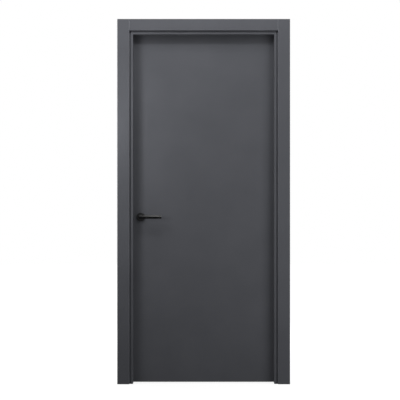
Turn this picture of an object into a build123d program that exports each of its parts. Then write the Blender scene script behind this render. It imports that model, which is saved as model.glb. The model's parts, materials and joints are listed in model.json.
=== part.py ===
"""Interior door set: lining, casings, flush leaf, butt hinges, mortise latch and lever handle.

Millimetres. X runs to the right seen from the push side, Y into the wall, Z up.
The origin is on the wall face of the hinge jamb, at floor level, half way through the wall.
"""
import os

from build123d import *

os.makedirs("parts", exist_ok=True)

# Clear opening between the stops, and the wall that the set lines
clear_width = 826
clear_height = 2042
wall_thickness = 100

# Lining: jamb boards, planted stops and the shadow gap beside them
jamb_thickness = 25
stop_thickness = 12
shadow_gap = 9
shadow_gap_depth = 3
arris = 1.5

# Casings: flat faces with a tongue that slides into the lining
leg_casing_width = 70
head_casing_width = 67
casing_thickness = 12
tongue_thickness = 6
tongue_length = 12
tongue_clearance = 0.3
tongue_end_clearance = 0.5

# Bulb seal in a kerf of each stop
seal_width = 6
seal_bulb = 4.5
seal_round = 2.4
seal_tail_width = 2.4
seal_tail_depth = 6
kerf_clearance = 0.3

# Leaf: framed core between two skins
leaf_thickness = 40
skin_thickness = 4
stile_width = 38
rail_height = 60
edge_gap = 5
floor_gap = 4
stop_gap = 5
latch_edge_bevel = 1.6

# Butt hinges
hinge_height = 100
hinge_end_distance = 220
wing_thickness = 2.5
wing_reach = 30
wing_corner = 8
pin_offset = 9
pin_radius = 3
pin_clearance = 0.05
knuckle_radius = 6
knuckle_count = 3
knuckle_gap = 0.4
knuckle_sweep_clearance = 0.5
pin_head_radius = 5.5
pin_head_top_radius = 3.5
pin_head_height = 4

# Mortise latch and strike
backset = 50
spindle_height = 974
forend_width = 20
forend_height = 160
forend_thickness = 2.5
case_width = 14
case_height = 76
case_past_spindle = 22
mortise_clearance = 0.5
bolt_width = 11
bolt_height = 22
bolt_length = 16
bolt_clearance = 0.3
bolt_rise = 20
follower_radius = 6.5
strike_height = 120
strike_thickness = 2
strike_window_width = 12
strike_window_height = 26
strike_pocket_depth = 14

# Lever handle on round roses
rose_radius = 25
rose_thickness = 9
rose_bevel = 1.5
rose_clearance = 0.3
neck_radius = 8
neck_end_clearance = 0.5
lever_projection = 57
grip_depth = 12
grip_heel = 10
grip_reach = 123
grip_rise = 1.5
grip_heel_height = 22
grip_tip_height = 20
facet_depth = 6.5
facet_start = 1.8
grip_round = 1
grip_end_bevel = 0.6
grub_hole_radius = 2.5
grub_hole_distance = 22
spindle_size = 8
spindle_clearance = 0.1
socket_depth = 32
skin_hole_radius = 7

# Faces and edges worked out from the sizes above
jamb_face = -jamb_thickness
stop_face = jamb_face - stop_thickness
frame_width = clear_width + 2 * (stop_thickness + jamb_thickness)
frame_height = clear_height + stop_thickness + jamb_thickness
latch_jamb_face = -frame_width + jamb_thickness
head_face = clear_height + stop_thickness
wall_front = -wall_thickness / 2
wall_back = wall_thickness / 2
casing_edge = stop_thickness + shadow_gap
casing_height = clear_height + casing_edge + head_casing_width
slot_depth = tongue_length + tongue_end_clearance
slot_width = tongue_thickness + 2 * tongue_clearance
slot_far_side = casing_edge + tongue_thickness + tongue_clearance

leaf_back = wall_back
leaf_front = leaf_back - leaf_thickness
leaf_middle = (leaf_front + leaf_back) / 2
leaf_hinge_edge = jamb_face - edge_gap
leaf_latch_edge = latch_jamb_face + edge_gap
leaf_top = head_face - edge_gap
leaf_height = leaf_top - floor_gap
stop_back = leaf_front - stop_gap
stop_overlap = stop_thickness - edge_gap

pin_x = jamb_face - edge_gap / 2
pin_y = wall_back + pin_offset
hinge_low = floor_gap + hinge_end_distance
hinge_high = leaf_top - hinge_end_distance
hinge_places = {"bottom": hinge_low, "middle": (hinge_low + hinge_high) / 2, "top": hinge_high}
knuckle_length = (hinge_height - (knuckle_count - 1) * knuckle_gap) / knuckle_count
jamb_knuckles = range(0, knuckle_count, 2)
leaf_knuckles = range(1, knuckle_count, 2)
notch_width = 2 * (knuckle_radius + knuckle_sweep_clearance)

spindle_x = leaf_latch_edge + backset
bolt_centre = spindle_height + bolt_rise
case_depth = backset + case_past_spindle

# Working planes: one for each upright section, one for each head section
post_plane = Plane(origin=(stop_face, 0, 0), x_dir=(1, 0, 0), z_dir=(0, 0, 1))
head_plane = Plane(origin=(stop_face, 0, clear_height), x_dir=(0, 0, 1), z_dir=(-1, 0, 0))
hinge_mitre = Plane(origin=(stop_face, 0, clear_height), x_dir=(0, 1, 0), z_dir=(1, 0, -1))
latch_mitre = Plane(origin=(stop_face - clear_width, 0, clear_height), x_dir=(0, 1, 0), z_dir=(-1, 0, -1))
across_opening = Plane.YZ.offset(-frame_width / 2)
through_wall = Plane.XZ
through_leaf = Plane.XZ.offset(-leaf_middle)
handle_plane = Plane(origin=(spindle_x, leaf_front, spindle_height), x_dir=(1, 0, 0), z_dir=(0, -1, 0))
latch_plane = Plane(
    origin=(leaf_latch_edge + latch_edge_bevel / 2, leaf_middle, bolt_centre),
    x_dir=(latch_edge_bevel, -leaf_thickness, 0),
    z_dir=(-leaf_thickness, -latch_edge_bevel, 0),
)
strike_plane = Plane(origin=(latch_jamb_face, leaf_middle, bolt_centre), x_dir=(0, 1, 0), z_dir=(1, 0, 0))


# Sections of the lining: local x leads outward from the clear opening, local y into the wall
def jamb_section(plane):
    """Jamb board, set back in front for the shadow gap, with a slot for the tongue of each casing."""
    with BuildSketch(plane) as section:
        with Locations((stop_thickness, wall_front)):
            Rectangle(jamb_thickness, wall_thickness, align=Align.MIN)
        with Locations((stop_thickness, wall_front)):
            Rectangle(shadow_gap, shadow_gap_depth, align=Align.MIN, mode=Mode.SUBTRACT)
        with Locations((slot_far_side, wall_front)):
            Rectangle(slot_width, slot_depth, align=(Align.MAX, Align.MIN), mode=Mode.SUBTRACT)
        with Locations((slot_far_side, wall_back)):
            Rectangle(slot_width, slot_depth, align=Align.MAX, mode=Mode.SUBTRACT)
    return section.sketch


def stop_section(plane):
    """Planted stop with a kerf for the seal in the edge that meets the leaf."""
    with BuildSketch(plane) as section:
        with Locations((0, wall_front)):
            Rectangle(stop_thickness, stop_back - wall_front, align=Align.MIN)
        fillet(section.vertices().group_by(Axis.Y)[0], arris)
        with Locations((stop_overlap / 2, stop_back)):
            Rectangle(
                seal_tail_width + 2 * kerf_clearance,
                seal_tail_depth + kerf_clearance,
                align=(Align.CENTER, Align.MAX),
                mode=Mode.SUBTRACT,
            )
    return section.sketch


def seal_section(plane):
    """Bulb seal: a rounded bulb on the stop and a tail in its kerf."""
    with BuildSketch(plane) as section:
        with Locations((stop_overlap / 2, stop_back)):
            Rectangle(seal_width, seal_bulb, align=(Align.CENTER, Align.MIN))
        fillet(section.vertices().group_by(Axis.Y)[-1], seal_round)
        with Locations((stop_overlap / 2, stop_back)):
            Rectangle(seal_tail_width, seal_tail_depth, align=(Align.CENTER, Align.MAX))
    return section.sketch


def casing_face_section(plane, width):
    """Flat face of a casing, from the shadow gap outward over the wall."""
    with BuildSketch(plane) as section:
        with Locations((casing_edge, wall_front)):
            Rectangle(width, casing_thickness, align=(Align.MIN, Align.MAX))
    return section.sketch


def casing_tongue_section(plane):
    """Tongue of a casing, flush with its inner edge."""
    with BuildSketch(plane) as section:
        with Locations((casing_edge, wall_front)):
            Rectangle(tongue_thickness, tongue_length, align=Align.MIN)
    return section.sketch


# Jamb boards: the posts run through, the head sits between them
head_jamb_plane = head_plane.offset(-stop_thickness)
head_jamb_length = clear_width + 2 * stop_thickness


def wing_outline(inner_end, outer_end, face, centre):
    """Outline of a hinge wing on the plane x = face, rounded at the end inside the wall."""
    with BuildSketch(Plane(origin=(face, 0, centre), x_dir=(0, 1, 0), z_dir=(1, 0, 0))) as outline:
        with Locations((inner_end, 0)):
            Rectangle(outer_end - inner_end, hinge_height, align=(Align.MIN, Align.CENTER))
        fillet(outline.vertices().group_by(Axis.X)[0], wing_corner)
    return outline.sketch


wing_inner_end = wall_back - wing_reach

with BuildPart() as hinge_jamb:
    extrude(jamb_section(post_plane), amount=frame_height)
    for centre in hinge_places.values():
        recess = wing_outline(wing_inner_end, wall_back, jamb_face, centre)
        extrude(recess, amount=wing_thickness, mode=Mode.SUBTRACT)

with BuildPart() as latch_jamb:
    extrude(jamb_section(post_plane), amount=frame_height)
    mirror(about=across_opening, mode=Mode.REPLACE)
    with BuildSketch(strike_plane):
        SlotOverall(strike_height, forend_width, rotation=90)
    extrude(amount=-strike_thickness, mode=Mode.SUBTRACT)
    with BuildSketch(strike_plane):
        Rectangle(strike_window_width, strike_window_height)
    extrude(amount=-strike_pocket_depth, mode=Mode.SUBTRACT)

with BuildPart() as head_jamb:
    extrude(jamb_section(head_jamb_plane), amount=head_jamb_length)

# Planted stops and their seals, mitred at the two top corners
with BuildPart() as hinge_stop:
    extrude(stop_section(post_plane), amount=head_face)
    split(bisect_by=hinge_mitre, keep=Keep.TOP)

with BuildPart() as latch_stop:
    mirror(hinge_stop.part, about=across_opening)

with BuildPart() as head_stop:
    extrude(stop_section(head_jamb_plane), amount=head_jamb_length)
    split(bisect_by=hinge_mitre, keep=Keep.BOTTOM)
    split(bisect_by=latch_mitre, keep=Keep.BOTTOM)

with BuildPart() as hinge_seal:
    extrude(seal_section(post_plane), amount=head_face)
    split(bisect_by=hinge_mitre, keep=Keep.TOP)

with BuildPart() as latch_seal:
    mirror(hinge_seal.part, about=across_opening)

with BuildPart() as head_seal:
    extrude(seal_section(head_jamb_plane), amount=head_jamb_length)
    split(bisect_by=hinge_mitre, keep=Keep.BOTTOM)
    split(bisect_by=latch_mitre, keep=Keep.BOTTOM)

# Casings: the legs run from square feet to the top, the head is cut square between them
head_casing_plane = head_plane.offset(-casing_edge)
head_casing_length = clear_width + 2 * casing_edge

with BuildPart() as front_hinge_casing:
    extrude(casing_face_section(post_plane, leg_casing_width), amount=casing_height)
    fillet(front_hinge_casing.faces().sort_by(Axis.Y)[0].edges().sort_by(Axis.Z)[1:], arris)
    extrude(casing_tongue_section(post_plane), amount=frame_height)

with BuildPart() as front_head_casing:
    extrude(casing_face_section(head_casing_plane, head_casing_width), amount=head_casing_length)
    fillet(front_head_casing.faces().sort_by(Axis.Y)[0].edges(), arris)
    extrude(casing_tongue_section(head_jamb_plane), amount=head_jamb_length)

with BuildPart() as front_latch_casing:
    mirror(front_hinge_casing.part, about=across_opening)

with BuildPart() as back_hinge_casing:
    mirror(front_hinge_casing.part, about=through_wall)

with BuildPart() as back_latch_casing:
    mirror(front_latch_casing.part, about=through_wall)

with BuildPart() as back_head_casing:
    mirror(front_head_casing.part, about=through_wall)


# Leaf: plan shapes whose latch edge is bevelled so that it clears the jamb as it swings
def latch_edge_at(depth):
    """Place of the bevelled latch edge at a depth in the wall."""
    return leaf_latch_edge + latch_edge_bevel * (leaf_back - depth) / leaf_thickness


def leaf_plan(front, back, hinge_side):
    """Plan of a leaf layer from a square side to the latch edge, on the leaf's lower edge."""
    with BuildSketch(Plane.XY.offset(floor_gap)) as plan:
        with BuildLine():
            Polyline(
                (hinge_side, front),
                (hinge_side, back),
                (latch_edge_at(back), back),
                (latch_edge_at(front), front),
                close=True,
            )
        make_face()
    return plan.sketch


core_front = leaf_front + skin_thickness
core_back = leaf_back - skin_thickness
hinge_stile_side = leaf_hinge_edge - stile_width
latch_stile_side = leaf_latch_edge + stile_width

with BuildPart() as leaf_front_skin:
    plan = leaf_plan(leaf_front, core_front, leaf_hinge_edge)
    extrude(plan, amount=leaf_height)
    fillet(leaf_front_skin.faces().sort_by(Axis.Y)[0].edges(), arris)
    with Locations(handle_plane):
        Hole(skin_hole_radius)

with BuildPart() as leaf_back_skin:
    plan = leaf_plan(core_back, leaf_back, leaf_hinge_edge)
    extrude(plan, amount=leaf_height)
    fillet(leaf_back_skin.faces().sort_by(Axis.Y)[-1].edges(), arris)
    with Locations(handle_plane):
        Hole(skin_hole_radius)
    for centre in hinge_places.values():
        recess = wing_outline(wing_inner_end, wall_back, leaf_hinge_edge, centre)
        extrude(recess, amount=-wing_thickness, mode=Mode.SUBTRACT)

with BuildPart() as leaf_hinge_stile:
    with BuildSketch(Plane.XY.offset(floor_gap)):
        with Locations((leaf_hinge_edge, core_front)):
            Rectangle(stile_width, core_back - core_front, align=(Align.MAX, Align.MIN))
    extrude(amount=leaf_height)
    for centre in hinge_places.values():
        recess = wing_outline(wing_inner_end, wall_back, leaf_hinge_edge, centre)
        extrude(recess, amount=-wing_thickness, mode=Mode.SUBTRACT)

with BuildPart() as leaf_latch_stile:
    plan = leaf_plan(core_front, core_back, latch_stile_side)
    extrude(plan, amount=leaf_height)
    with BuildSketch(latch_plane):
        SlotOverall(forend_height, forend_width, rotation=90)
    extrude(amount=-forend_thickness, mode=Mode.SUBTRACT)
    with BuildSketch(latch_plane):
        Rectangle(case_width + 2 * mortise_clearance, case_height + 2 * mortise_clearance)
    extrude(amount=-case_depth, mode=Mode.SUBTRACT)


def leaf_rail(bottom):
    """Cross rail of the leaf between its stiles."""
    with BuildPart() as rail:
        with BuildSketch(Plane.XY.offset(bottom)):
            with Locations((latch_stile_side, core_front)):
                Rectangle(hinge_stile_side - latch_stile_side, core_back - core_front, align=Align.MIN)
        extrude(amount=rail_height)
    return rail


leaf_bottom_rail = leaf_rail(floor_gap)
leaf_top_rail = leaf_rail(leaf_top - rail_height)


# Butt hinges: two wings with interleaved knuckles on one pin
def knuckle_locations(numbers, centre):
    """Centres of the numbered knuckles of the hinge at a height."""
    lowest = centre - hinge_height / 2 + knuckle_length / 2
    return [(pin_x, pin_y, lowest + number * (knuckle_length + knuckle_gap)) for number in numbers]


def hinge_wing(face, thickness, own, other, centre):
    """Plate let into the wood, with its own knuckles and room for those of the other wing."""
    with BuildPart() as wing:
        extrude(wing_outline(wing_inner_end, pin_y, face, centre), amount=thickness)
        with Locations(*knuckle_locations(other, centre)):
            Box(notch_width, notch_width, knuckle_length + 2 * knuckle_gap, mode=Mode.SUBTRACT)
        with Locations(*knuckle_locations(own, centre)):
            Cylinder(knuckle_radius, knuckle_length)
        with Locations((pin_x, pin_y, centre)):
            Cylinder(pin_radius + pin_clearance, hinge_height, mode=Mode.SUBTRACT)
    return wing


def hinge_pin(centre):
    """Loose pin, flush below, with a tapered head that rests on the top knuckle."""
    with BuildPart() as pin:
        with Locations((pin_x, pin_y, centre)):
            Cylinder(pin_radius, hinge_height)
        with Locations((pin_x, pin_y, centre + hinge_height / 2)):
            Cone(
                pin_head_radius,
                pin_head_top_radius,
                pin_head_height,
                align=(Align.CENTER, Align.CENTER, Align.MIN),
            )
    return pin


hinges = {}
for place, centre in hinge_places.items():
    hinges[f"{place}_hinge_jamb_wing"] = hinge_wing(
        jamb_face, wing_thickness, jamb_knuckles, leaf_knuckles, centre
    )
    hinges[f"{place}_hinge_leaf_wing"] = hinge_wing(
        leaf_hinge_edge, -wing_thickness, leaf_knuckles, jamb_knuckles, centre
    )
    hinges[f"{place}_hinge_pin"] = hinge_pin(centre)

# Mortise latch, its bolt drawn in flush with the forend, and the strike on the latch jamb
with BuildPart() as mortise_latch:
    with BuildSketch(latch_plane):
        SlotOverall(forend_height, forend_width, rotation=90)
    extrude(amount=-forend_thickness)
    with BuildSketch(latch_plane.offset(-forend_thickness)):
        Rectangle(case_width, case_height)
    extrude(amount=forend_thickness - case_depth)
    with BuildSketch(latch_plane):
        Rectangle(bolt_width + 2 * bolt_clearance, bolt_height + 2 * bolt_clearance)
    extrude(amount=-bolt_length, mode=Mode.SUBTRACT)
    with Locations(handle_plane):
        Hole(follower_radius)

with BuildPart() as latch_bolt:
    with BuildSketch(latch_plane.offset(-bolt_length)):
        Rectangle(bolt_width, bolt_height)
    extrude(amount=bolt_length)
    fillet(latch_bolt.faces().sort_by(Axis.X)[0].edges().filter_by(Axis.Z), arris)

with BuildPart() as strike_plate:
    with BuildSketch(strike_plane):
        SlotOverall(strike_height, forend_width, rotation=90)
        Rectangle(strike_window_width, strike_window_height, mode=Mode.SUBTRACT)
    extrude(amount=-strike_thickness)

# Handle: round rose, lever with a bevelled upper facet and a grub screw hole below, square spindle
with BuildPart() as front_rose:
    with BuildSketch(handle_plane):
        Circle(rose_radius)
        Circle(neck_radius + rose_clearance, mode=Mode.SUBTRACT)
    extrude(amount=rose_thickness)
    rim = front_rose.faces().sort_by(Axis.Y)[0].edges().sort_by(SortBy.RADIUS)[-1]
    chamfer(rim, rose_bevel)

grip_front = leaf_front - lever_projection
grip_back = grip_front + grip_depth
grip_middle = spindle_height + grip_rise
grip_top = grip_middle + grip_heel_height / 2
heel_x = spindle_x - grip_heel
tip_x = spindle_x + grip_reach

with BuildPart() as front_lever:
    with BuildSketch(Plane.XZ.offset(-grip_front)):
        with BuildLine():
            Polyline(
                (heel_x, grip_middle - grip_heel_height / 2),
                (tip_x, grip_middle - grip_tip_height / 2),
                (tip_x, grip_middle + grip_tip_height / 2),
                (heel_x, grip_top),
                close=True,
            )
        make_face()
    extrude(amount=-grip_depth)
    with BuildSketch(Plane.YZ.offset(heel_x)):
        with BuildLine():
            Polyline(
                (grip_front, spindle_height + facet_start),
                (grip_front + facet_depth, grip_top),
                (grip_front, grip_top),
                close=True,
            )
        make_face()
    extrude(amount=tip_x - heel_x, mode=Mode.SUBTRACT)
    upright_ends = front_lever.faces().filter_by(Axis.X).edges()
    fillet(front_lever.edges() - upright_ends, grip_round)
    ends = front_lever.faces().sort_by(Axis.X)
    chamfer(ends[0].edges() + ends[-1].edges(), grip_end_bevel)
    with BuildSketch(handle_plane.offset(neck_end_clearance)):
        Circle(neck_radius)
    extrude(amount=leaf_front - grip_back - neck_end_clearance)
    with BuildSketch(handle_plane):
        Rectangle(spindle_size + 2 * spindle_clearance, spindle_size + 2 * spindle_clearance)
    extrude(amount=socket_depth, mode=Mode.SUBTRACT)
    with BuildSketch(Plane.XY.offset(spindle_height - neck_radius)):
        with Locations((spindle_x, leaf_front - grub_hole_distance)):
            Circle(grub_hole_radius)
    extrude(amount=neck_radius, mode=Mode.SUBTRACT)

with BuildPart() as back_rose:
    mirror(front_rose.part, about=through_leaf)

with BuildPart() as back_lever:
    mirror(front_lever.part, about=through_leaf)

with BuildPart() as spindle:
    with BuildSketch(Plane.XZ.offset(-leaf_middle)):
        with Locations((spindle_x, spindle_height)):
            Rectangle(spindle_size, spindle_size)
    extrude(amount=leaf_thickness / 2 + socket_depth, both=True)

pieces = {
    "hinge_jamb": hinge_jamb,
    "latch_jamb": latch_jamb,
    "head_jamb": head_jamb,
    "hinge_stop": hinge_stop,
    "latch_stop": latch_stop,
    "head_stop": head_stop,
    "hinge_seal": hinge_seal,
    "latch_seal": latch_seal,
    "head_seal": head_seal,
    "front_hinge_casing": front_hinge_casing,
    "front_latch_casing": front_latch_casing,
    "front_head_casing": front_head_casing,
    "back_hinge_casing": back_hinge_casing,
    "back_latch_casing": back_latch_casing,
    "back_head_casing": back_head_casing,
    "strike_plate": strike_plate,
    "leaf_front_skin": leaf_front_skin,
    "leaf_back_skin": leaf_back_skin,
    "leaf_hinge_stile": leaf_hinge_stile,
    "leaf_latch_stile": leaf_latch_stile,
    "leaf_top_rail": leaf_top_rail,
    "leaf_bottom_rail": leaf_bottom_rail,
    "mortise_latch": mortise_latch,
    "latch_bolt": latch_bolt,
    "front_rose": front_rose,
    "back_rose": back_rose,
    "front_lever": front_lever,
    "back_lever": back_lever,
    "spindle": spindle,
    **hinges,
}
for name, piece in pieces.items():
    piece.part.label = name
    export_step(piece.part, f"parts/{name}.step")
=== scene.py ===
"""Looks of the interior door: lacquer, black fittings, screws, floor, lamps and camera.

Metres, in the frame of the solids: X to the right seen from the push side, Y into the wall, Z up.
"""
import json
import math

import bmesh
import bpy
from mathutils import Matrix, Vector

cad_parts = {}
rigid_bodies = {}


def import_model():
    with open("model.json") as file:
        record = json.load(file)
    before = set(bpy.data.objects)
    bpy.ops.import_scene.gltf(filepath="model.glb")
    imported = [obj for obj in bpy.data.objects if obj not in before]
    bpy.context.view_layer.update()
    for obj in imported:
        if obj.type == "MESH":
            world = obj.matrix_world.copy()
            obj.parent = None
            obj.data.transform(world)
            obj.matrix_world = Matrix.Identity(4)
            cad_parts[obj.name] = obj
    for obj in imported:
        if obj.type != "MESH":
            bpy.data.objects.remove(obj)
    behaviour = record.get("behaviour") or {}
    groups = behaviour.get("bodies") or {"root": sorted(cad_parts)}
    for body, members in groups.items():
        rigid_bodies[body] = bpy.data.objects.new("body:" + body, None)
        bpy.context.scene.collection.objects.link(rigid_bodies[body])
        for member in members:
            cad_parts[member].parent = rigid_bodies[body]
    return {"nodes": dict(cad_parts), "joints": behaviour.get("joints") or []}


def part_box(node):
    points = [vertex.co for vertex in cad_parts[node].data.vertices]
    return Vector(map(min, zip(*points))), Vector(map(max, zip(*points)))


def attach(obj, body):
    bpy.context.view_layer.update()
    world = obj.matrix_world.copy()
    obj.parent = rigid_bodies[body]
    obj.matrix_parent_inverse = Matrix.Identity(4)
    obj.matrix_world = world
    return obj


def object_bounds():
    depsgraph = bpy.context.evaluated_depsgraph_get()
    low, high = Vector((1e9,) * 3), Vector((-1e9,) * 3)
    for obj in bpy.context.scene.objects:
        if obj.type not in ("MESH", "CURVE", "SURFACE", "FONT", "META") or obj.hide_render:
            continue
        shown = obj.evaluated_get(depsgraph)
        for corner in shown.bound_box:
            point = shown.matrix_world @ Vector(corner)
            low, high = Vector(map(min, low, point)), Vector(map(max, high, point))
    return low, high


for leftover in list(bpy.data.objects):
    bpy.data.objects.remove(leftover)

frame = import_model()
nodes = frame["nodes"]
cad_low, cad_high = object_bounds()
scene = bpy.context.scene
scene.view_settings.view_transform = "Standard"

# Finishes, in linear colour
LACQUER = (0.104, 0.1072, 0.1195)
LACQUER_SPREAD = 0.05
LACQUER_SHEEN = 0.06
# Painted highlight: colour gain on the casings' rounded upright edges, standing in for the light they
# catch
ARRIS_HIGHLIGHT_GAIN = 2.2
HANDLE_BLACK = (0.0018, 0.0018, 0.0019)
ROSE_BLACK = (0.021, 0.021, 0.0215)
FITTING_BLACK = (0.011, 0.011, 0.0115)
STEEL = (0.42, 0.42, 0.43)
RUBBER = (0.012, 0.012, 0.0125)
COAT_DRIFT = 0.04
PATTERN_RANGE = (0.3, 0.7)
# Slant of the normal over which the painted arris highlight comes in
ARRIS_HIGHLIGHT_SLANT = (0.1, 0.4)

# Screws: sizes and places
HINGE_SCREW_RADIUS = 0.0042
PLATE_SCREW_RADIUS = 0.0036
SCREW_RISE = 0.0006
SCREW_SEAT = 0.0008
HINGE_SCREW_SPREAD = 0.036
HINGE_SCREW_EDGE = 0.010
HINGE_SCREW_STAGGER = 0.009
FOREND_SCREW_END = 0.012
STRIKE_SCREW_END = 0.016
NECK_RADIUS = 0.008
GRUB_RADIUS = 0.0024
GRUB_DISTANCE = 0.022
GRUB_SINK = 0.0010
GRUB_LENGTH = 0.0022

# Screw shapes, as shares of the radius, of the rise and of the length
HEAD_BASE = 0.8
HEAD_PROFILE = ((1.0, 0.0), (0.94, 0.45), (0.78, 0.85), (0.6, 1.0))
CROSS_MOUTH = (0.46, 0.1)
CROSS_FLOOR = (0.34, 0.07)
CROSS_FLOOR_RISE = 0.12
GRUB_CHAMFER = 0.12
GRUB_FACE = 0.86
SOCKET_MOUTH = 0.58
SOCKET_FLOOR = 0.56
SOCKET_DEPTH = 0.6
SOCKET_SIDES = 6

# Turns of the driver recesses, in radians
ROW_TURN = 0.7
HINGE_TURN = 0.4
LEAF_TURN = 0.5
PLATE_TURNS = (0.3, 1.1)
GRUB_TURN = 0.2

# Least cosine at which a facet counts as looking a given way
FACING = 0.9

# Camera: level, square to the door, looking along +Y
CASING_DISTANCE = 7.5
VIEW_WIDTH = 2.332
VIEW_X = -0.4713
VIEW_Z = 1.0743
SENSOR = 36.0

# Floor and background
FLOOR_RADIUS = 14.0
FLOOR_SIDES = 96
FLOOR_DROP = 0.0005
FLOOR_DULL = 0.15
FLOOR_PALE = 0.3
FLOOR_GLOW = 0.84
FLOOR_FADE = (1.2, 3.0)
AMBIENT = 0.218
WHITE = 1.0


# Materials
def grey(level):
    """Opaque grey."""
    return (level, level, level, 1.0)


def scaled(base, share):
    """Opaque colour, a share of a base."""
    return (*(channel * share for channel in base), 1.0)


def map_range(tree, value, source, target):
    """Value taken from one range to another and held at its ends."""
    spread = tree.nodes.new("ShaderNodeMapRange")
    for socket, level in zip(("From Min", "From Max", "To Min", "To Max"), (*source, *target)):
        spread.inputs[socket].default_value = level
    tree.links.new(value, spread.inputs["Value"])
    return spread.outputs["Result"]


class Finish:
    """A procedural Principled material; patterns run in the piece's own coordinates."""

    def __init__(self, name, roughness, specular, metallic=0.0):
        self.material = bpy.data.materials.new(name)
        self.material.use_nodes = True
        self.tree = self.material.node_tree
        self.shader = self.tree.nodes["Principled BSDF"]
        self.shader.inputs["Roughness"].default_value = roughness
        self.shader.inputs["Specular IOR Level"].default_value = specular
        self.shader.inputs["Metallic"].default_value = metallic

    def link(self, source, target):
        self.tree.links.new(source, target)

    def noise(self, scale, detail=3.0, stretch=(1.0, 1.0, 1.0)):
        """Noise with cells of about 1/scale metres, drawn out where stretch is below 1."""
        place = self.tree.nodes.new("ShaderNodeTexCoord")
        mapping = self.tree.nodes.new("ShaderNodeMapping")
        mapping.inputs["Scale"].default_value = stretch
        texture = self.tree.nodes.new("ShaderNodeTexNoise")
        texture.inputs["Scale"].default_value = scale
        texture.inputs["Detail"].default_value = detail
        self.link(place.outputs["Object"], mapping.inputs["Vector"])
        self.link(mapping.outputs["Vector"], texture.inputs["Vector"])
        return texture.outputs["Fac"]

    def colour(self, factor, base, spread):
        """Colour that drifts by a share of the base with a pattern."""
        ramp = self.tree.nodes.new("ShaderNodeValToRGB")
        shares = (1 - spread, 1 + spread)
        for element, position, share in zip(ramp.color_ramp.elements, PATTERN_RANGE, shares):
            element.position = position
            element.color = scaled(base, share)
        self.link(factor, ramp.inputs["Fac"])
        self.link(ramp.outputs["Color"], self.shader.inputs["Base Color"])

    def roughness(self, factor, low, high):
        """Roughness that drifts between two levels with a pattern."""
        level = map_range(self.tree, factor, PATTERN_RANGE, (low, high))
        self.link(level, self.shader.inputs["Roughness"])

    def paint_arris_highlight(self, base, gain):
        """Painted highlight: lighter colour on the rounded upright edges, standing in for the light they
        catch.
        """
        place = self.tree.nodes.new("ShaderNodeTexCoord")
        split = self.tree.nodes.new("ShaderNodeSeparateXYZ")
        product = self.tree.nodes.new("ShaderNodeMath")
        product.operation = "MULTIPLY"
        slant = self.tree.nodes.new("ShaderNodeMath")
        slant.operation = "ABSOLUTE"
        mix = self.tree.nodes.new("ShaderNodeMixRGB")
        mix.inputs["Color2"].default_value = scaled(base, gain)
        coat = self.shader.inputs["Base Color"].links[0].from_socket
        self.link(place.outputs["Normal"], split.inputs["Vector"])
        self.link(split.outputs["X"], product.inputs[0])
        self.link(split.outputs["Y"], product.inputs[1])
        self.link(product.outputs["Value"], slant.inputs[0])
        share = map_range(self.tree, slant.outputs["Value"], ARRIS_HIGHLIGHT_SLANT, (0.0, 1.0))
        self.link(share, mix.inputs["Fac"])
        self.link(coat, mix.inputs["Color1"])
        self.link(mix.outputs["Color"], self.shader.inputs["Base Color"])

    def bump(self, height, depth, strength):
        """Fine relief of a depth in metres."""
        relief = self.tree.nodes.new("ShaderNodeBump")
        relief.inputs["Distance"].default_value = depth
        relief.inputs["Strength"].default_value = strength
        self.link(height, relief.inputs["Height"])
        self.link(relief.outputs["Normal"], self.shader.inputs["Normal"])


def lacquer(name, highlight_gain=None):
    """Matt sprayed lacquer: soft clouds of tone, fine orange peel and, with a gain, a painted highlight
    on the upright arrises.
    """
    finish = Finish(name, roughness=0.54, specular=LACQUER_SHEEN)
    finish.colour(finish.noise(scale=5.0, detail=4.0), LACQUER, LACQUER_SPREAD)
    finish.roughness(finish.noise(scale=60.0), low=0.5, high=0.58)
    if highlight_gain:
        # Painted highlight on the rounded upright edges
        finish.paint_arris_highlight(LACQUER, highlight_gain)
    finish.bump(finish.noise(scale=900.0, detail=2.0), depth=0.00004, strength=0.35)
    return finish.material


def black_coat(name, base, roughness, specular):
    """Satin black powder coat with a fine grain."""
    finish = Finish(name, roughness, specular)
    finish.colour(finish.noise(scale=140.0), base, spread=0.18)
    finish.roughness(finish.noise(scale=220.0), low=roughness - COAT_DRIFT, high=roughness + COAT_DRIFT)
    finish.bump(finish.noise(scale=2600.0, detail=2.0), depth=0.00002, strength=0.3)
    return finish.material


def drawn_steel(name):
    """Plain steel with the fine lines of drawing, along Z."""
    finish = Finish(name, roughness=0.34, specular=0.5, metallic=1.0)
    lines = finish.noise(scale=900.0, stretch=(1.0, 1.0, 0.03))
    finish.colour(lines, STEEL, spread=0.14)
    finish.roughness(lines, low=0.26, high=0.42)
    finish.bump(lines, depth=0.00002, strength=0.4)
    return finish.material


def seal_rubber(name):
    """Matt extruded rubber with faint lines along its length."""
    finish = Finish(name, roughness=0.75, specular=0.2)
    finish.colour(finish.noise(scale=90.0), RUBBER, spread=0.25)
    lines = finish.noise(scale=700.0, stretch=(1.0, 1.0, 0.05))
    finish.bump(lines, depth=0.00006, strength=0.5)
    return finish.material


finishes = {
    "leaf_paint": lacquer("leaf_lacquer"),
    "lining_paint": lacquer("lining_lacquer"),
    # Casings carry a painted highlight on their upright arrises
    "casing_paint": lacquer("casing_lacquer", ARRIS_HIGHLIGHT_GAIN),
    "handle_black": black_coat("handle_coat", HANDLE_BLACK, roughness=0.15, specular=0.052),
    "rose_black": black_coat("rose_coat", ROSE_BLACK, roughness=0.42, specular=0.08),
    "hinge_black": black_coat("hinge_coat", FITTING_BLACK, roughness=0.4, specular=0.25),
    "latch_black": black_coat("latch_coat", FITTING_BLACK, roughness=0.38, specular=0.25),
    "bolt_steel": drawn_steel("drawn_steel"),
    "seal_rubber": seal_rubber("seal_rubber_skin"),
}
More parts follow.
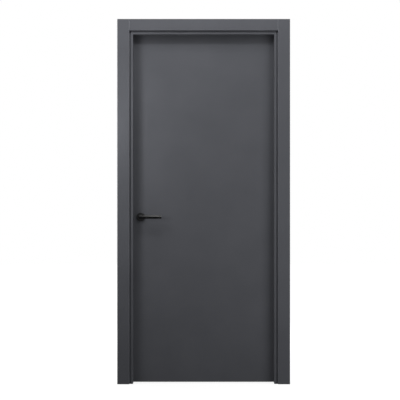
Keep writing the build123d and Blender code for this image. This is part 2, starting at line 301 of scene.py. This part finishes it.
# Roses and casings have a finish of their own, told by the last word of the node's name; the casings'
# finish carries the painted arris highlight
kinds = {"rose": "rose_black", "casing": "casing_paint"}
for name, node in nodes.items():
    for place in node.material_slots:
        place.material = finishes[kinds.get(name.split("_")[-1], place.material.name)]


# Screws, each a closed solid in a joined mesh
def circle(radius, height, count=28):
    """Points of a circle at a height."""
    turns = [2 * math.pi * step / count for step in range(count)]
    return [Vector((radius * math.cos(turn), radius * math.sin(turn), height)) for turn in turns]


def cross(reach, half_width, height):
    """Outline of a cross recess, anticlockwise."""
    arm = [
        Vector((reach, -half_width, 0)),
        Vector((reach, half_width, 0)),
        Vector((half_width, half_width, 0)),
    ]
    turns = [Matrix.Rotation(math.pi / 2 * quarter, 3, "Z") for quarter in range(4)]
    return [turn @ point + Vector((0, 0, height)) for turn in turns for point in arm]


def add_loop(mesh, points, place):
    """Vertices of a loop, moved to their place."""
    return [mesh.verts.new(place @ point) for point in points]


def join_loops(mesh, first, second):
    """Band of faces between two loops of equal count."""
    count = len(first)
    for step in range(count):
        after = (step + 1) % count
        mesh.faces.new((first[step], first[after], second[after], second[step]))


def recessed_head(mesh, place, rings, recess_top, recess_floor):
    """Closed turned head: rings from the hidden base up, then a recess sunk in its flat top."""
    loops = [add_loop(mesh, ring, place) for ring in rings]
    mesh.faces.new(list(reversed(loops[0])))
    for lower, upper in zip(loops, loops[1:]):
        join_loops(mesh, lower, upper)
    mouth = add_loop(mesh, recess_top, place)
    floor = add_loop(mesh, recess_floor, place)
    borders = []
    for loop in (loops[-1], mouth):
        for step, vertex in enumerate(loop):
            after = loop[(step + 1) % len(loop)]
            borders.append(mesh.edges.get((vertex, after)) or mesh.edges.new((vertex, after)))
    bmesh.ops.triangle_fill(mesh, edges=borders, use_beauty=True)
    join_loops(mesh, mouth, floor)
    mesh.faces.new(floor)


def cross_screw(mesh, place, radius):
    """Raised countersunk head with a cross recess."""
    rings = [circle(radius * HEAD_BASE, -SCREW_SEAT)]
    rings += [circle(radius * share, SCREW_RISE * rise) for share, rise in HEAD_PROFILE]
    mouth = cross(*(radius * share for share in CROSS_MOUTH), SCREW_RISE)
    floor = cross(*(radius * share for share in CROSS_FLOOR), SCREW_RISE * CROSS_FLOOR_RISE)
    recessed_head(mesh, place, rings, mouth, floor)


def grub_screw(mesh, place, radius):
    """Set screw with a hexagon socket."""
    rings = [
        circle(radius, -GRUB_LENGTH),
        circle(radius, -radius * GRUB_CHAMFER),
        circle(radius * GRUB_FACE, 0.0),
    ]
    mouth = circle(radius * SOCKET_MOUTH, 0.0, SOCKET_SIDES)
    floor = circle(radius * SOCKET_FLOOR, -GRUB_LENGTH * SOCKET_DEPTH, SOCKET_SIDES)
    recessed_head(mesh, place, rings, mouth, floor)


def seat(point, outward, turn):
    """Matrix that stands local Z on a point of a face, turned about it."""
    stand = outward.to_track_quat("Z", "Y").to_matrix().to_4x4()
    return Matrix.Translation(point) @ stand @ Matrix.Rotation(turn, 4, "Z")


def screw_set(name, make, seats, body, slot):
    """One joined mesh of like screws that rides on a body."""
    mesh = bmesh.new()
    for place, radius in seats:
        make(mesh, place, radius)
    bmesh.ops.recalc_face_normals(mesh, faces=mesh.faces)
    data = bpy.data.meshes.new(name)
    mesh.to_mesh(data)
    mesh.free()
    data.materials.append(finishes[slot])
    piece = bpy.data.objects.new(name, data)
    scene.collection.objects.link(piece)
    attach(piece, body)


def widest_face(node, toward):
    """Centre and normal of the widest facet of a node that looks a given way."""
    facing = [facet for facet in nodes[node].data.polygons if facet.normal.dot(toward) > FACING]
    chosen = max(facing, key=lambda facet: facet.area)
    return chosen.center.copy(), chosen.normal.copy()


def on_plane(point, normal, y, z):
    """Point of a near upright plane, across X, at a depth and height."""
    x = point.x - ((y - point.y) * normal.y + (z - point.z) * normal.z) / normal.x
    return Vector((x, y, z))


to_right, to_left, down = Vector((1, 0, 0)), Vector((-1, 0, 0)), Vector((0, 0, -1))
jamb_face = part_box("hinge_jamb")[0].x
leaf_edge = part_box("leaf_hinge_stile")[1].x
jamb_seats, leaf_seats = [], []
for order, place in enumerate(("bottom", "middle", "top")):
    low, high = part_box(f"{place}_hinge_jamb_wing")
    middle = (low.z + high.z) / 2
    for row in (-1, 0, 1):
        y = low.y + HINGE_SCREW_EDGE + HINGE_SCREW_STAGGER * (row == 0)
        z = middle + row * HINGE_SCREW_SPREAD
        turn = ROW_TURN * row + HINGE_TURN * order
        on_jamb = seat(Vector((jamb_face, y, z)), to_left, turn)
        on_leaf = seat(Vector((leaf_edge, y, z)), to_right, turn + LEAF_TURN)
        jamb_seats.append((on_jamb, HINGE_SCREW_RADIUS))
        leaf_seats.append((on_leaf, HINGE_SCREW_RADIUS))

for node, toward, end, seats in (
    ("mortise_latch", to_left, FOREND_SCREW_END, leaf_seats),
    ("strike_plate", to_right, STRIKE_SCREW_END, jamb_seats),
):
    low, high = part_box(node)
    point, normal = widest_face(node, toward)
    for z, turn in zip((low.z + end, high.z - end), PLATE_TURNS):
        place = on_plane(point, normal, (low.y + high.y) / 2, z)
        seats.append((seat(place, normal, turn), PLATE_SCREW_RADIUS))

lever_joint = next(joint for joint in frame["joints"] if joint["name"] == "lever_turn")
axis = Vector(lever_joint["pos_m"])
leaf_front, leaf_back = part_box("leaf_front_skin")[0].y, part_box("leaf_back_skin")[1].y
grub_seats = [
    (seat(Vector((axis.x, y, axis.z - NECK_RADIUS + GRUB_SINK)), down, GRUB_TURN), GRUB_RADIUS)
    for y in (leaf_front - GRUB_DISTANCE, leaf_back + GRUB_DISTANCE)
]
screw_set("frame_screws", cross_screw, jamb_seats, "frame", "hinge_black")
screw_set("leaf_screws", cross_screw, leaf_seats, "leaf", "hinge_black")
screw_set("lever_grub_screws", grub_screw, grub_seats, "lever", "handle_black")


# Floor and background: white to the camera and to reflections, dim to soft light
def seen_directly(tree):
    """1 for camera, glossy and transmission rays, else 0."""
    path = tree.nodes.new("ShaderNodeLightPath")
    total = path.outputs["Is Camera Ray"]
    for ray in ("Is Glossy Ray", "Is Transmission Ray"):
        either = tree.nodes.new("ShaderNodeMath")
        either.operation = "MAXIMUM"
        tree.links.new(total, either.inputs[0])
        tree.links.new(path.outputs[ray], either.inputs[1])
        total = either.outputs[0]
    return total


def mix_by_ray(tree, hidden, shown, output):
    """Second shader where it is seen, first shader where it only lights."""
    mix = tree.nodes.new("ShaderNodeMixShader")
    tree.links.new(seen_directly(tree), mix.inputs["Fac"])
    tree.links.new(hidden, mix.inputs[1])
    tree.links.new(shown, mix.inputs[2])
    tree.links.new(mix.outputs["Shader"], output.inputs["Surface"])


def background(tree, level):
    """Even background light."""
    shader = tree.nodes.new("ShaderNodeBackground")
    shader.inputs["Color"].default_value = grey(WHITE)
    shader.inputs["Strength"].default_value = level
    return shader.outputs["Background"]


world = bpy.data.worlds.new("studio")
scene.world = world
world.use_nodes = True
sky = world.node_tree
sky.nodes.clear()
mix_by_ray(sky, background(sky, AMBIENT), background(sky, WHITE), sky.nodes.new("ShaderNodeOutputWorld"))


def floor_material():
    """Pale floor that shows the object's shadow, fades to white and throws little light back."""
    material = bpy.data.materials.new("pale_floor")
    material.use_nodes = True
    tree = material.node_tree
    tree.nodes.clear()
    output = tree.nodes.new("ShaderNodeOutputMaterial")
    dull = tree.nodes.new("ShaderNodeBsdfDiffuse")
    dull.inputs["Color"].default_value = grey(FLOOR_DULL)
    pale = tree.nodes.new("ShaderNodeBsdfDiffuse")
    pale.inputs["Color"].default_value = grey(FLOOR_PALE)
    place = tree.nodes.new("ShaderNodeTexCoord")
    distance = tree.nodes.new("ShaderNodeVectorMath")
    distance.operation = "LENGTH"
    fade = map_range(tree, distance.outputs["Value"], FLOOR_FADE, (FLOOR_GLOW, WHITE))
    glow = tree.nodes.new("ShaderNodeEmission")
    both = tree.nodes.new("ShaderNodeAddShader")
    tree.links.new(place.outputs["Object"], distance.inputs[0])
    tree.links.new(fade, glow.inputs["Strength"])
    tree.links.new(pale.outputs["BSDF"], both.inputs[0])
    tree.links.new(glow.outputs["Emission"], both.inputs[1])
    mix_by_ray(tree, dull.outputs["BSDF"], both.outputs["Shader"], output)
    return material


ground = bmesh.new()
bmesh.ops.create_circle(ground, cap_ends=True, radius=FLOOR_RADIUS, segments=FLOOR_SIDES)
floor_data = bpy.data.meshes.new("floor")
ground.to_mesh(floor_data)
ground.free()
floor_data.materials.append(floor_material())
floor = bpy.data.objects.new("floor", floor_data)
floor.location = (VIEW_X, 0.0, cad_low.z - FLOOR_DROP)
scene.collection.objects.link(floor)


# Lamps
def area_lamp(name, place, aim, width, height, power):
    """Soft box at a place, turned to an aim, unseen by the camera itself."""
    data = bpy.data.lights.new(name, "AREA")
    data.shape = "RECTANGLE"
    data.size = width
    data.size_y = height
    data.energy = power
    lamp = bpy.data.objects.new(name, data)
    lamp.location = place
    lamp.rotation_euler = (Vector(aim) - Vector(place)).to_track_quat("-Z", "Y").to_euler()
    lamp.visible_camera = False
    scene.collection.objects.link(lamp)


area_lamp("left_near", (-1.3, -0.7, 1.62), (-0.45, 0.0, 1.2), width=0.4, height=0.3, power=1.19)
area_lamp("left_close", (-1.22, -0.42, 1.52), (-0.92, -0.06, 1.5), width=0.1, height=0.3, power=0.94)
area_lamp("left_high", (-1.4, -0.75, 2.5), (-0.45, 0.0, 1.5), width=0.4, height=0.8, power=3.46)
area_lamp("left_low", (-1.55, -0.9, 1.1), (-0.45, 0.0, 1.0), width=0.55, height=0.35, power=2.86)
area_lamp("top_wide", (-0.4, -0.9, 2.9), (-0.45, 0.0, 1.0), width=1.4, height=0.9, power=5.64)
area_lamp("top_close", (-0.2, -0.35, 2.6), (-0.3, -0.06, 2.1), width=0.8, height=0.15, power=1.24)
area_lamp("top_strip", (-0.72, -1.05, 2.9), (-0.72, 0.0, 1.0), width=0.32, height=0.12, power=5.3)
area_lamp("right_strip", (0.45, -0.8, 1.0), (-0.45, 0.0, 1.0), width=0.6, height=1.9, power=4.82)
area_lamp("right_high", (0.45, -0.8, 2.5), (-0.45, 0.0, 1.5), width=0.6, height=1.0, power=2.69)
area_lamp("back_soft", (-0.9, 2.8, 2.2), (-0.45, 0.05, 1.1), width=1.6, height=1.6, power=50.0)
area_lamp("side_right", (2.3, 1.3, 1.7), (0.0, 0.05, 1.1), width=1.0, height=1.6, power=36.0)
area_lamp("side_left", (-3.2, 1.3, 1.7), (-0.9, 0.05, 1.1), width=1.0, height=1.6, power=36.0)

# Camera
camera_data = bpy.data.cameras.new("camera")
camera_data.sensor_width = SENSOR
camera_data.lens = SENSOR * CASING_DISTANCE / VIEW_WIDTH
camera = bpy.data.objects.new("camera", camera_data)
camera.location = (VIEW_X, cad_low.y - CASING_DISTANCE, VIEW_Z)
camera.rotation_euler = (math.pi / 2, 0.0, 0.0)
scene.collection.objects.link(camera)
scene.camera = camera
